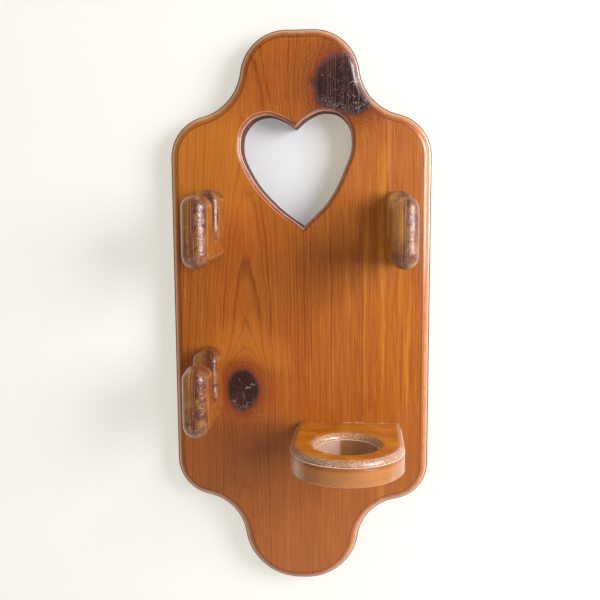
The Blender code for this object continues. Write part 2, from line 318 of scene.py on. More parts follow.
def add_node(tree, kind, inputs=(), output=0, **settings):
    """Adds a node with its settings and inputs, and gives one of its outputs."""
    node = tree.nodes.new(kind if "Node" in kind else "ShaderNode" + kind)
    for name, value in settings.items():
        setattr(node, name, value)
    plug(node.inputs, inputs if isinstance(inputs, dict) else dict(enumerate(inputs)))
    return Field(tree, node.outputs[output])


def calc(tree, operation, *values, clamp=False):
    return add_node(tree, "Math", values, operation=operation, use_clamp=clamp)


def fade(value, start, end, first=0.0, last=1.0):
    """first up to start, last beyond end, and a smooth change between."""
    values = {"Value": value, "From Min": start, "From Max": end, "To Min": first, "To Max": last}
    return add_node(value.tree, "MapRange", values, "Result", interpolation_type="SMOOTHSTEP")


def band(value, start, full, waning, end):
    """1 from full to waning, 0 before start and beyond end."""
    return fade(value, start, full) * fade(value, waning, end, 1.0, 0.0)


def blend(factor, under, over):
    return add_node(factor.tree, "Mix", {0: factor, 6: under, 7: over}, 2, data_type="RGBA")


def vector_math(operation, first, second=None, output=0):
    return add_node(first.tree, "VectorMath", (first, second), output, operation=operation)


def split(vector):
    joint = add_node(vector.tree, "SeparateXYZ", (vector,))
    return [joint.beside(axis) for axis in "XYZ"]


def noise(position, size, detail=2.0, rough=0.5):
    """Noise of one fineness, or of a fineness for each axis."""
    if isinstance(size, tuple):
        position, size = vector_math("MULTIPLY", position, size), 1.0
    values = {"Vector": position, "Scale": size, "Detail": detail, "Roughness": rough}
    return add_node(position.tree, "TexNoise", values, "Fac")


def noise_along(value, size, detail):
    values = {"W": value, "Scale": size, "Detail": detail}
    return add_node(value.tree, "TexNoise", values, "Fac", noise_dimensions="1D")


def attribute(tree, name):
    return add_node(tree, "Attribute", (), "Fac", attribute_name=name)


def start_group(name, inputs, outputs, tree_kind="ShaderNodeTree"):
    """A node group, fields of its inputs, and its output sockets. Inputs are (name, kind, value)."""
    group = bpy.data.node_groups.new(name, tree_kind)
    for label, kind, value in inputs:
        socket = group.interface.new_socket(label, in_out="INPUT", socket_type="NodeSocket" + kind)
        if value is not None:
            socket.default_value = value
    for label, kind in outputs:
        group.interface.new_socket(label, in_out="OUTPUT", socket_type="NodeSocket" + kind)
    given = group.nodes.new("NodeGroupInput").outputs
    fields = {label: Field(group, given[label]) for label, kind, value in inputs}
    return group, fields, group.nodes.new("NodeGroupOutput").inputs


def place_group(tree, group, values):
    node = tree.nodes.new("ShaderNodeGroup")
    node.node_tree = group
    plug(node.inputs, values)
    return {socket.name: Field(tree, socket) for socket in node.outputs}


def build_ring_group():
    """Growth rings round a leaning pith line. Grain runs along z; sizes are in millimetres."""
    inputs = [("Position", "Vector", (0, 0, 0)), ("Pith X", "Float", 0.0), ("Pith Y", "Float", 30.0),
              ("Lean X", "Float", 0.0), ("Lean Y", "Float", 0.06), ("Spacing", "Float", 3.0),
              ("Waver", "Float", 1.0), ("Push", "Float", 0.0)]
    outputs = [("Late", "Float"), ("Fibre", "Float"), ("Fleck", "Float")]
    tree, given, result = start_group("growth rings", inputs, outputs)
    where = given["Position"]
    x, y, z = split(where)
    slow = noise(where, (0.030, 0.030, 0.0045))
    waver = noise(where, (0.16, 0.16, 0.045)) * 1.6 + (slow - 0.5) * given["Waver"]
    across = x - (z * given["Lean X"] + given["Pith X"])
    through = y + (z * given["Lean Y"] + given["Pith Y"])
    flat = add_node(tree, "CombineXYZ", (across, through, 0.0))
    radius = vector_math("LENGTH", flat, output="Value") + waver + given["Push"]
    turns = radius / given["Spacing"]
    turns = noise_along(turns, 0.55, 1.0) * 1.6 + turns
    phase = calc(tree, "FRACT", turns)
    strong = noise_along(calc(tree, "FLOOR", turns), 7.3, 0.0)
    late = band(phase, 0.60, 0.93, 0.93, 1.0) * fade(strong, 0.25, 0.75, 0.45, 1.0)
    dash = noise(where, (3.2, 3.2, 0.28), 1.0)
    plug(result, {"Late": late, "Fibre": noise(where, (1.7, 1.7, 0.035), 3.0, 0.65),
                  "Fleck": fade(dash, 0.66, 0.74)})
    return tree


def build_knot_group():
    """A branch knot: its dark core, the halo of turned grain round it, its rings and its cracks."""
    inputs = [("Position", "Vector", (0, 0, 0)), ("Centre", "Vector", (0, 0, 0)),
              ("Half Size", "Vector", (10, 1000, 10)), ("Crack Width", "Float", 0.006)]
    outputs = [(name, "Float") for name in ("Core", "Halo", "Rim", "Rings", "Crack", "Reach")]
    tree, given, result = start_group("branch knot", inputs, outputs)
    where = given["Position"]
    shape = vector_math("DIVIDE", vector_math("SUBTRACT", where, given["Centre"]), given["Half Size"])
    reach = vector_math("LENGTH", shape, output="Value") + (noise(where, 0.13, 3.0, 0.6) - 0.5) * 0.34
    x, y, z = split(shape)
    wander = noise(where, 0.35) * 0.8 + calc(tree, "ARCTAN2", z, x)
    thin = given["Crack Width"] / calc(tree, "MAXIMUM", reach, 0.28)
    near_spoke = calc(tree, "COMPARE", noise_along(wander, 1.3, 0.0), 0.5, thin)
    broken = fade(noise(where, 0.42), 0.42, 0.55)
    grit = fade(noise(where, 1.4), 0.56, 0.64) * (fade(z, -0.2, -0.7) * fade(reach, 0.6, 0.8))
    crack = calc(tree, "MAXIMUM", near_spoke * broken, grit)
    core = fade(reach, 0.94, 1.05, 1.0, 0.0)
    beyond = calc(tree, "MAXIMUM", reach - 1.0, 0.0)
    plug(result, {
        "Core": core, "Halo": calc(tree, "EXPONENT", beyond * -2.1), "Reach": reach,
        "Rim": fade(reach, 0.84, 0.94) * core, "Rings": calc(tree, "SINE", reach * 30.0) * 0.5 + 0.5,
        "Crack": crack * fade(reach, 0.75, 0.95, 1.0, 0.0)})
    return tree


def build_wear_group():
    """Where varnish has rubbed off a rounded edge, plus the scratches and dings of use."""
    inputs = [("Position", "Vector", (0, 0, 0)), ("Run", "Float", 0.0), ("Start", "Float", 0.12),
              ("End", "Float", 0.85), ("Amount", "Float", 0.6)]
    outputs = [("Rubbed", "Float"), ("Scratch", "Float"), ("Speck", "Float")]
    tree, given, result = start_group("wear", inputs, outputs)
    where, start, end = given["Position"], given["Start"], given["End"]
    patchy = noise(where, 0.16, 4.0, 0.65)
    exposed = band(given["Run"], start, start + 0.16, end, end + 0.12)
    rubbed = fade((patchy + given["Amount"]) * exposed, 0.55, 0.95)
    turned = add_node(tree, "Mapping", {
        "Vector": where, "Rotation": (0.4, 0.7, 0.3), "Scale": (0.02, 0.9, 0.9)})
    lines = add_node(tree, "TexVoronoi", {"Vector": turned, "Scale": 0.45}, "Distance", feature="F1")
    scratch = fade(lines, 0.035, 0.06, 1.0, 0.0) * fade(noise(where, 0.05, 1.0), 0.54, 0.60)
    dots = add_node(tree, "TexVoronoi", {"Vector": where, "Scale": 0.55}, "Distance", feature="F1")
    rare = split(dots.beside("Color"))[0]
    speck = fade(dots, 0.10, 0.20, 1.0, 0.0) * fade(rare, 0.86, 0.88)
    plug(result, {"Rubbed": rubbed, "Scratch": scratch, "Speck": speck})
    return tree


RING_GROUP = build_ring_group()
KNOT_GROUP = build_knot_group()
WEAR_GROUP = build_wear_group()


def start_finish(name, roughness, coat_roughness, specular=0.5):
    """A material, its tree, its shader's inputs, and the Object position in millimetres."""
    made = bpy.data.materials.new(name)
    made.use_nodes = True
    shader = made.node_tree.nodes["Principled BSDF"].inputs
    plug(shader, {"Roughness": roughness, "Coat Roughness": coat_roughness,
                  "Specular IOR Level": specular})
    place = add_node(made.node_tree, "TexCoord", (), "Object")
    place = add_node(made.node_tree, "VectorMath", {"Vector": place, "Scale": 1000.0}, operation="SCALE")
    return made, made.node_tree, shader, place


def bump_to(shader, height, depth):
    bump = add_node(height.tree, "Bump", {"Height": height, "Distance": depth, "Strength": 1.0})
    plug(shader, {"Normal": bump, "Coat Normal": bump})


PINE_EARLY = srgb(182, 101, 24)
PINE_RED = srgb(156, 78, 18)
PINE_LATE = srgb(108, 46, 10)
PINE_PALE = srgb(216, 138, 42)
HALO_RED = srgb(118, 46, 18)
DARK_BROWN = srgb(64, 30, 14)
SAWN_EDGE_SHADED = srgb(66, 38, 24)
LEDGE_PALE = srgb(232, 200, 172)
HEART_BROWN = srgb(116, 56, 34)
HEART_SHEEN_LINE = srgb(232, 168, 138)
HEART_PINK = srgb(206, 132, 112)
WORN_AND_LIT_EDGE = srgb(222, 152, 90)
WORN_AND_LIT_KNOT = srgb(136, 116, 112)
DING_PALE = srgb(232, 182, 132)
BACK_PINE = srgb(188, 132, 78)
BACK_LATE = srgb(146, 92, 48)
KNOT_DARK = srgb(42, 20, 16)
KNOT_RED = srgb(90, 38, 26)
KNOT_RIM = srgb(112, 88, 84)
CRACK_DUST = srgb(172, 148, 138)
RUBBED_PINE = srgb(200, 140, 112)
LOW_KNOT = {"Centre": (-41.9, 0.0, -56.3), "Half Size": (11.6, 4000.0, 15.8), "Crack Width": 0.0035}
HIGH_KNOT = {"Centre": (33.5, 0.0, 159.5), "Half Size": (24.0, 4000.0, 21.5), "Crack Width": 0.003}


def build_board_finish():
    made, tree, shader, place = start_finish("varnished knotty pine", 0.42, 0.17, 0.25)
    x, y, z = split(place)
    low = place_group(tree, KNOT_GROUP, {"Position": place, **LOW_KNOT})
    high = place_group(tree, KNOT_GROUP, {"Position": place, **HIGH_KNOT})
    rings = place_group(tree, RING_GROUP, {
        "Position": place, "Pith X": -38.0, "Pith Y": 38.0, "Lean X": 0.02, "Lean Y": 0.062,
        "Spacing": fade(x, 0.0, 90.0, 2.35, 1.5), "Waver": fade(z, 60.0, 150.0, 5.0, 12.0),
        "Push": low["Halo"] * -9.0 + high["Halo"] * 15.0})
    clouds = noise(place, (0.028, 0.028, 0.012), 3.0)
    streaks = noise(place, (0.16, 0.16, 0.006))

    # The ground: redder to the left and in clouds, with paler streaks to the right. The paler, less red
    # right side is partly the wood's own tone and partly painted light from the window side.
    red = calc(tree, "ADD", fade(x, -60.0, 80.0) * -0.5, clouds * 1.3 + 0.05, clamp=True)
    color = blend(red, PINE_EARLY, PINE_RED)
    color = blend(fade(streaks, 0.50, 0.72) * fade(x, 10.0, 70.0, 0.15, 0.75), color, PINE_PALE)
    late = rings["Late"] * (clouds * 0.9 + 0.30) * fade(x, 10.0, 60.0, 1.0, 0.72)
    color = blend(late, color, PINE_LATE)
    streaky = fade(x, -20.0, 40.0, 0.20, 0.34)
    color = blend(fade(rings["Fibre"], 0.47, 0.66) * streaky, color, PINE_LATE)
    color = blend(fade(rings["Fibre"], 0.48, 0.32) * streaky, color, PINE_PALE)
    # Redder and darker towards the bottom.
    color = blend(fade(z, -40.0, -120.0, 0.0, 0.36), color, PINE_RED)
    color = blend(fade(z, -30.0, -90.0, 0.0, 0.09), color, DARK_BROWN)
    shoulder = band(z, 45.0, 85.0, 125.0, 155.0) * fade(x, -15.0, -50.0)
    color = blend(shoulder * 0.32, color, PINE_PALE)
    flame = band(low["Reach"], 1.35, 1.7, 2.3, 4.0)
    color = blend(flame * fade(z, -46.0, -34.0, 0.0, 0.24), color, PINE_PALE)
    color = blend(flame * fade(z, -72.0, -84.0, 0.0, 0.40), color, PINE_LATE)
    color = blend(rings["Fleck"] * 0.30, color, PINE_PALE)

    for knot, halo_tint, ring_rate in ((low, 0.85, 34.0), (high, 0.90, 58.0)):
        reach = knot["Reach"]
        color = blend(knot["Halo"] * halo_tint, color, HALO_RED)
        around = fade(calc(tree, "SINE", reach * ring_rate), 0.35, 0.95) * fade(reach, 1.02, 1.08)
        color = blend(around * fade(reach, 1.15, 1.75, 0.55, 0.0), color, PINE_LATE)
        heart = blend(knot["Rings"] * 0.16, KNOT_DARK, KNOT_RED)
        heart = blend(fade(clouds, 0.48, 0.62, 0.0, 0.7), heart, KNOT_RED)
        heart = blend(knot["Rim"] * 0.28, heart, KNOT_RIM)
        heart = blend(knot["Crack"] * 0.85, heart, CRACK_DUST)
        color = blend(knot["Core"], color, heart)

    # The edges, from the line where the rounding starts to the ledge and the sawn side.
    run, of_heart = attribute(tree, "edge_run"), attribute(tree, "edge_kind")
    wear = place_group(tree, WEAR_GROUP, {
        "Position": place, "Run": run, "Start": 0.16, "End": 0.74, "Amount": 0.27})
    color = blend(of_heart * fade(run, 0.02, 0.22) * 0.62, color, HEART_BROWN)
    # Where the rounding starts there is a dark line, except on the heart's left half, whose rim faces the
    # window: there the line is a painted highlight.
    heart_lit_side = of_heart * fade(x, 2.0, -14.0)
    line_tint = blend(heart_lit_side, DARK_BROWN, HEART_SHEEN_LINE)
    color = blend(band(run, 0.0, 0.04, 0.08, 0.16) * 0.55, color, line_tint)
    color = blend(band(run, 0.18, 0.26, 0.34, 0.42) * heart_lit_side * 0.55, color, HALO_RED)
    color = blend(fade(run, 0.10, 0.60) * 0.22, color, HALO_RED)
    color = blend(of_heart * fade(run, 0.42, 0.60) * 0.5, color, HEART_PINK)
    # The outer rounding turns paler: partly worn wood, partly painted bounce light, stronger on the left
    # side away from the window.
    worn_and_lit_tint = blend(calc(tree, "MAXIMUM", low["Core"], high["Core"]), WORN_AND_LIT_EDGE, WORN_AND_LIT_KNOT)
    outer_worn_and_lit = fade(run, 0.22, 0.55) * fade(x, 0.0, -70.0, 0.30, 0.70) * (1.0 - of_heart)
    color = blend(outer_worn_and_lit, color, worn_and_lit_tint)
    color = blend(wear["Rubbed"] * 0.55, color, RUBBED_PINE)
    color = blend(band(run, 0.800, 0.815, 0.84, 0.86) * 0.75, color, LEDGE_PALE)
    # The sawn side is dark: end grain plus painted shade.
    side = fade(run, 0.845, 0.875)
    color = blend(side * 0.85, color, SAWN_EDGE_SHADED)

    bare = blend(rings["Late"] * 0.55, BACK_PINE, BACK_LATE)
    bare = blend(fade(clouds, 0.45, 0.70, 0.0, 0.5), bare, PINE_EARLY)
    color = blend(fade(y, -0.45, -0.25), color, bare)
    marks = calc(tree, "MAXIMUM", wear["Scratch"], wear["Speck"]) * 0.30
    color = blend(marks, color, DING_PALE)
    plug(shader, {
        "Base Color": color,
        "Roughness": side * 0.4 + (wear["Rubbed"] * 0.20 + (clouds * 0.16 + 0.30)),
        "Coat Weight": (wear["Rubbed"] * -0.45 + 0.75) * (side * -0.92 + 1.0)})
    height = rings["Late"] * 0.25 + rings["Fibre"] * 0.35
    height = height - calc(tree, "MAXIMUM", low["Crack"], high["Crack"]) * 1.6 - marks * 1.2
    bump_to(shader, height + noise(place, (0.05, 0.05, 0.02), 1.0) * 2.0, 0.00010)
    return made


def build_back_board():
    form = bmesh.new()

    def place(point, drop):
        return (point.x, -BOARD_THICKNESS + drop, point.y)

    fronts, backs = [], []
    edges = ((board_outline(), BOARD_ROUND, BOARD_LEDGE, 0.0),
             (clean_loop(list(reversed(heart_outline()))), HEART_ROUND, HEART_LEDGE, 1.0))
    for outline, radius, ledge, kind in edges:
        rows = routed_edge(radius, ledge, BOARD_THICKNESS, BACK_ARRIS)
        front, back = loft(form, outline, rows, place, kind=kind)
        fronts.append(front)
        backs.append(back)
    cap(form, *fronts)
    cap(form, *backs)
    return add_piece("pine_back_board", form, build_board_finish())


board = build_back_board()

# ---------------------------------------------------------------------------------------------
# Hooks
# Three U-shaped hooks sawn from pine offcuts with the grain running out from the wall, rounded
# from both sides so that a narrow ridge is left in the middle. Each is screwed on from behind.
# Handling has rubbed them darker and shinier than the board.
# ---------------------------------------------------------------------------------------------
HOOK_THICKNESS = 0.0175
HOOK_DEPTH = 0.0655
HOOK_HEIGHT = 0.0500
HOOK_ROUND = 0.0080
HOOK_LEDGE = 0.00035
SLOT_ROUND = 0.0040
REAR_PRONG = 0.0220
SLOT_WIDTH = 0.0175
SLOT_DEPTH = 0.0310
SLOT_CORNER = 0.0060
FRONT_DROP = 0.0040
TIP_CORNER = 0.0085
HEEL_CORNER = 0.0105
HOOKS = {
    "upper_left_hook": (-0.0624, 0.0879, 0.0, 0.0017),
    "upper_right_hook": (0.0683, 0.0863, 2.6, 0.0),
    "lower_left_hook": (-0.0656, -0.0240, -1.4, 0.0015),
}


def hook_outline(foot_drop):
    """Side view of a hook: x is the depth from its seat, y the height above its foot."""
    buried = -2 * HOOK_ROUND
    tip = math.pi / 2
    front_top = HOOK_HEIGHT - FRONT_DROP
    slot_front = REAR_PRONG + SLOT_WIDTH
    slot_bottom = HOOK_HEIGHT - SLOT_DEPTH
    inside = [(SLOT_CORNER, -tip)]
    heel = follow_arcs((HOOK_DEPTH - HEEL_CORNER, -foot_drop), 0, [(HEEL_CORNER, tip)])
    front_tip = follow_arcs((HOOK_DEPTH, front_top - TIP_CORNER), tip, [(TIP_CORNER, tip)])
    front_back = follow_arcs((slot_front + TIP_CORNER, front_top), math.pi, [(TIP_CORNER, tip)])
    slot = follow_arcs((slot_front, slot_bottom + SLOT_CORNER), -tip, inside)
    slot += follow_arcs((REAR_PRONG + SLOT_CORNER, slot_bottom), math.pi, inside)
    rear_tip = follow_arcs((REAR_PRONG, HOOK_HEIGHT - TIP_CORNER), tip, [(TIP_CORNER, tip)])
    return heel + front_tip + front_back + slot + rear_tip + [(buried, HOOK_HEIGHT), (buried, 0)]


def hook_weight(point):
    """Full rounding outside, less in the slot, and a gradual change over the tips of the prongs."""
    depth, height = point
    slot_front = REAR_PRONG + SLOT_WIDTH
    if height < HOOK_HEIGHT - SLOT_DEPTH - 1e-5:
        return 1.0
    outside = max(REAR_PRONG - depth, depth - slot_front) / TIP_CORNER
    in_slot = SLOT_ROUND / HOOK_ROUND
    return in_slot + (1 - in_slot) * min(1.0, max(0.0, outside))


def cut_at_seat(form):
    """Cuts the form off flat where it sits on the board, and closes it."""
    cut = bmesh.ops.bisect_plane(form, geom=form.verts[:] + form.edges[:] + form.faces[:],
                                 plane_co=(0, SEAT, 0), plane_no=(0, 1, 0), clear_outer=True)
    rim = [item for item in cut["geom_cut"] if isinstance(item, bmesh.types.BMEdge)]
    bmesh.ops.triangle_fill(form, use_beauty=True, edges=rim)


HOOK_BROWN = srgb(118, 54, 28)
HOOK_ORANGE = srgb(172, 100, 28)
HOOK_DARK = srgb(72, 27, 16)
HOOK_GROOVE = srgb(44, 18, 10)
HOOK_TAN = srgb(198, 138, 70)
SPECK_PALE = srgb(214, 178, 160)


def build_hook_finish():
    made, tree, shader, place = start_finish("handled hook pine", 0.38, 0.10, 0.10)
    x, y, z = split(place)
    turned = add_node(tree, "Mapping", {"Vector": place, "Rotation": (math.pi / 2, 0.0, 0.0)})
    rings = place_group(tree, RING_GROUP, {
        "Position": turned, "Pith X": 4.0, "Pith Y": 60.0, "Lean X": 0.04, "Lean Y": 0.03,
        "Spacing": 2.1, "Waver": 10.0, "Push": noise(place, 0.075, 1.0) * 24.0})
    run, left = attribute(tree, "edge_run"), attribute(tree, "edge_kind")
    height = attribute(tree, "hook_height")
    rounded = fade(run, 0.08, 0.32)
    right = (1.0 - left) * rounded
    clouds = noise(place, 0.09, 4.0, 0.62)

    # The ground: orange faces, browner roundings, tan ones to the left (partly pale wood, partly painted
    # bounce light) and dark ones to the right.
    color = blend(rounded, HOOK_ORANGE, HOOK_BROWN)
    color = blend(fade(clouds, 0.44, 0.66) * (rounded * 0.45 + 0.35), color, HOOK_DARK)
    color = blend(rings["Late"] * 0.42, color, HOOK_DARK)
    # Tan on the left roundings: partly pale wood, partly painted bounce light.
    tan_and_bounce = left * rounded * fade(height, 0.15, 0.55, 0.18, 0.68) * fade(x, -20.0, 20.0, 0.55, 1.0)
    color = blend(tan_and_bounce, color, HOOK_TAN)
    color = blend(right * 0.55, color, HOOK_DARK)
    color = blend(rounded * fade(height, 0.50, 0.10, 0.0, 0.35), color, HOOK_DARK)
    streaks = noise(place, (1.5, 0.2, 0.05))
    near_ridge = fade(run, 0.30, 0.60) * fade(streaks, 0.50, 0.62)
    color = blend(near_ridge * 0.40, color, HOOK_DARK)

    # Rubbed places, saw marks low on the right, pale specks, and the ridge between the roundings.
    wear = place_group(tree, WEAR_GROUP, {
        "Position": place, "Run": run, "Start": 0.10, "End": 0.92, "Amount": 0.20})
    color = blend(wear["Rubbed"] * 0.45, color, HOOK_TAN)
    hatch = add_node(tree, "Mapping", {"Vector": place, "Rotation": (0.0, 0.8, 0.0)})
    hatch = fade(noise(hatch, (0.22, 0.22, 2.4), 1.0), 0.46, 0.60, 0.0, 0.32)
    hatched = fade(height, 0.60, 0.35) * right * fade(z, 0.0, 30.0, 0.1, 1.0)
    color = blend(hatched * hatch, color, HOOK_TAN)
    fine = noise(place, 1.4, 3.0, 0.7)
    specks = fade(fine, 0.58, 0.66) * fade(run, 0.06, 0.25)
    color = blend(specks * 0.36, color, SPECK_PALE)
    color = blend(band(run, 0.74, 0.79, 0.84, 0.90) * 0.70, color, HOOK_GROOVE)
    color = blend(band(run, 0.88, 0.92, 0.97, 1.0) * 0.30, color, SPECK_PALE)
    color = blend(band(run, 0.0, 0.05, 0.08, 0.18) * 0.16, color, SPECK_PALE)
    color = blend(wear["Scratch"] * 0.5, color, SPECK_PALE)
    plug(shader, {"Base Color": color, "Roughness": specks * 0.25 + 0.34, "Coat Weight": 0.9})
    relief = fine * 0.8 + rings["Late"] * 0.25 + noise(place, (0.08, 0.08, 0.55)) * 1.3
    bump_to(shader, relief - wear["Scratch"], 0.00017)
    return made


def build_hook(name, middle, top, turn, foot_drop, finish):
    form = bmesh.new()
    outward = math.radians(turn) * math.copysign(1.0, middle)
    aside = Matrix.Rotation(math.radians(-90) + outward, 4, "Z")
    forward = aside @ Matrix.Rotation(math.radians(90), 4, "X")
    to_place = Matrix.Translation((middle, SEAT, top - HOOK_HEIGHT)) @ forward
    outline = clean_loop(hook_outline(foot_drop))
    weights = [hook_weight(point) for point in outline]
    rims = []
    for side in (-1, 1):
        def place(point, drop):
            return to_place @ Vector((point.x, point.y, side * (HOOK_THICKNESS / 2 - drop)))
        rows = stepped_round(HOOK_ROUND, HOOK_LEDGE)
        front, ridge = loft(form, outline, rows, place, weights, kind=(side + 1) / 2)
        cap(form, front)
        rims.append(ridge)
    for index in range(len(outline)):
        form.faces.new((rims[0][index - 1], rims[0][index], rims[1][index], rims[1][index - 1]))
    cut_at_seat(form)
    height_layer = form.verts.layers.float.new("hook_height")
    for vertex in form.verts:
        vertex[height_layer] = 1.0 + (vertex.co.z - top) / HOOK_HEIGHT
    return add_piece("pine_" + name, form, finish)


hook_finish = build_hook_finish()
hooks = {name: build_hook(name, *sizes, hook_finish) for name, sizes in HOOKS.items()}

# ---------------------------------------------------------------------------------------------
# Ring shelf
# A D-shaped block of pine with a round hole for the bowl or brush, its upper edges routed like
# the board's. Two screws from behind hold it. Its top keeps a thick amber varnish.
# ---------------------------------------------------------------------------------------------
RING_X = 0.0350
RING_TOP = -0.0789
RING_WIDTH = 0.0758
RING_THICKNESS = 0.0168
RING_CENTRE_DEPTH = 0.0500
RING_HOLE_RADIUS = 0.0206
RING_ROUND = 0.0048
RING_LEDGE = 0.0008
RING_ARRIS = 0.0005
SHELF_AMBER = srgb(212, 138, 34)
SHELF_DEEP = srgb(178, 96, 22)
SHELF_LATE = srgb(140, 74, 26)
SHELF_EDGE = srgb(140, 86, 50)
SHELF_RUBBED = srgb(186, 150, 122)
SHELF_SIDE = srgb(192, 116, 46)
SHELF_LEFT_LIT = srgb(232, 170, 128)
SHELF_SHADE = srgb(104, 54, 20)
SHELF_GREY = srgb(142, 110, 82)
HOLE_LIT = srgb(180, 140, 122)
HOLE_SHADOWED = srgb(134, 84, 40)
SHELF_SPECK = srgb(244, 228, 212)
SHELF_LEDGE = srgb(246, 226, 200)
SHELF_CHIP = srgb(240, 226, 210)
SHELF_DING = srgb(84, 44, 20)
HOLE_MIDDLE = (35.0, -69.3, 0.0)


def build_shelf_finish():
    made, tree, shader, place = start_finish("amber shelf pine", 0.34, 0.16, 0.30)
    x, y, z = split(place)
    turned = add_node(tree, "Mapping", {"Vector": place, "Rotation": (0.0, math.pi / 2, 0.0)})
    rings = place_group(tree, RING_GROUP, {
        "Position": turned, "Pith X": 60.0, "Pith Y": 40.0, "Lean X": 0.03, "Lean Y": 0.05,
        "Spacing": 2.4, "Waver": 14.0})
    run = attribute(tree, "edge_run")
    color = blend(fade(noise(place, 0.06, 3.0, 0.6), 0.35, 0.70), SHELF_AMBER, SHELF_DEEP)
    color = blend(rings["Late"] * 0.45, color, SHELF_LATE)
    wear = place_group(tree, WEAR_GROUP, {
        "Position": place, "Run": run, "Start": 0.06, "End": 0.70, "Amount": 0.55})
    color = blend(fade(run, 0.05, 0.30, 0.0, 0.80), color, SHELF_EDGE)
    color = blend(wear["Rubbed"] * 0.32, color, SHELF_RUBBED)

    # The sawn side: greyed in streaks, painted light at the left end, painted shade just below the rounding,
    # and the hole's own wall with painted light on its left part and painted shadow on the rest.
    side = fade(run, 0.93, 1.0)
    streaks = fade(noise(place, (0.05, 0.05, 0.40), 4.0, 0.6), 0.44, 0.58)
    color = blend(side * 0.75, color, SHELF_SIDE)
    color = blend(side * fade(x, 6.0, -3.0, 0.0, 0.7), color, SHELF_LEFT_LIT)
    color = blend(side * fade(z, -87.0, -84.5, 0.0, 0.5), color, SHELF_SHADE)
    color = blend(side * streaks * fade(z, -87.0, -93.0, 0.25, 1.0) * 0.7, color, SHELF_GREY)
    flat = vector_math("MULTIPLY", place, (1, 1, 0))
    from_hole = vector_math("DISTANCE", flat, HOLE_MIDDLE, "Value")
    # Painted light on the hole wall's left part, painted shadow on the rest.
    hole_lit_and_shadowed = blend(fade(x, 28.4, 31.0), HOLE_LIT, HOLE_SHADOWED)
    color = blend(side * fade(from_hole, 22.5, 23.5, 1.0, 0.0), color, hole_lit_and_shadowed)

    # Pale specks on the rounding, the bare ledge, chips along the back edge, and dark dings.
    fine = noise(place, 1.1, 3.0, 0.75)
    rounded = fade(run, 0.04, 0.2) * fade(run, 0.80, 0.92, 1.0, 0.12)
    color = blend(fade(fine, 0.56, 0.62) * rounded * 0.75, color, SHELF_SPECK)
    color = blend(band(run, 0.80, 0.83, 0.90, 0.97) * 0.85, color, SHELF_LEDGE)
    chips = fade(noise(place, 0.45), fade(x, 20.0, 45.0, 0.56, 0.47), 0.60)
    color = blend(fade(y, -22.4, -21.6) * chips * 0.85, color, SHELF_CHIP)
    color = blend(wear["Speck"] * 0.7, color, SHELF_DING)
    plug(shader, {"Base Color": color, "Roughness": wear["Rubbed"] * 0.2 + 0.30, "Coat Weight": 0.8})
    bump_to(shader, fine * 0.5 + rings["Late"] * 0.5, 0.00012)
    return made


def build_ring_shelf():
    form = bmesh.new()
    half = RING_WIDTH / 2
    centre = SEAT - RING_CENTRE_DEPTH
    behind = SEAT + 0.012      # past the seat, where the form is then cut off flat
    nose = follow_arcs((-half, centre), -math.pi / 2, [(half, math.pi)])
    outer = [(-half, behind)] + nose + [(half, behind)]
    hole = follow_arcs((RING_HOLE_RADIUS, centre), math.pi / 2, [(RING_HOLE_RADIUS, math.tau)])

    def place(point, drop):
        return (RING_X + point.x, point.y, RING_TOP - drop)

    rows = routed_edge(RING_ROUND, RING_LEDGE, RING_THICKNESS, RING_ARRIS)
    tops, bottoms = [], []
    for outline in (clean_loop(outer), clean_loop(list(reversed(hole)))):
        top, bottom = loft(form, outline, rows, place)
        tops.append(top)
        bottoms.append(bottom)
    cap(form, *tops)
    cap(form, *bottoms)
    cut_at_seat(form)
    return add_piece("pine_ring_shelf", form, build_shelf_finish())


shelf = build_ring_shelf()

# ---------------------------------------------------------------------------------------------
# Screws
# Eight slotted countersunk wood screws of zinc-plated steel, two for each hook and two for the
# ring shelf. They are driven from the back of the board until their heads lie just below it.
# ---------------------------------------------------------------------------------------------
SCREW_LENGTH = 0.032
SCREW_HEAD_RADIUS = 0.0042
SCREW_SHANK_RADIUS = 0.0021
SCREW_HEAD_DEPTH = 0.0025
SCREW_POINT = 0.0060
SCREW_SUNK = 0.0006
SCREW_SLOT_WIDTH = 0.0010
SCREW_SLOT_DEPTH = 0.0009
SCREW_PITCH = 0.0022
SCREW_SEED = 4
HOOK_SCREW_INSET = 0.0130
RING_SCREW_SPREAD = 0.0250
OVERCUT = 0.0020


def screw_places():
    """Each screw's CAD node, the middle of its head, and the piece it fixes."""
    places = []
    for name, (middle, top, turn, foot_drop) in HOOKS.items():
        places.append((f"{name}_screw_top", (middle, -SCREW_SUNK, top - HOOK_SCREW_INSET), hooks[name]))
        low = top - HOOK_HEIGHT + HOOK_SCREW_INSET
        places.append((f"{name}_screw_bottom", (middle, -SCREW_SUNK, low), hooks[name]))
    height = RING_TOP - RING_THICKNESS / 2
    places.append(("ring_shelf_screw_left", (RING_X - RING_SCREW_SPREAD, -SCREW_SUNK, height), shelf))
    places.append(("ring_shelf_screw_right", (RING_X + RING_SCREW_SPREAD, -SCREW_SUNK, height), shelf))
    return places


def bore_for_screw(name, place):
    head = SCREW_HEAD_RADIUS + GAP
    shank = SCREW_SHANK_RADIUS + GAP
    profile = [(head, -OVERCUT), (head, 0.0004), (shank, SCREW_HEAD_DEPTH + GAP),
               (shank, SCREW_LENGTH - SCREW_POINT), (0.0002, SCREW_LENGTH + GAP)]
    return turned_cutter(f"{name}_bore", profile, place)


def set_inputs(modifier, values):
    """Gives a node modifier its inputs by the sockets' own identifiers."""
    for item in modifier.node_group.interface.items_tree:
        if item.item_type == "SOCKET" and item.in_out == "INPUT" and item.name in values:
            modifier[item.identifier] = values[item.name]


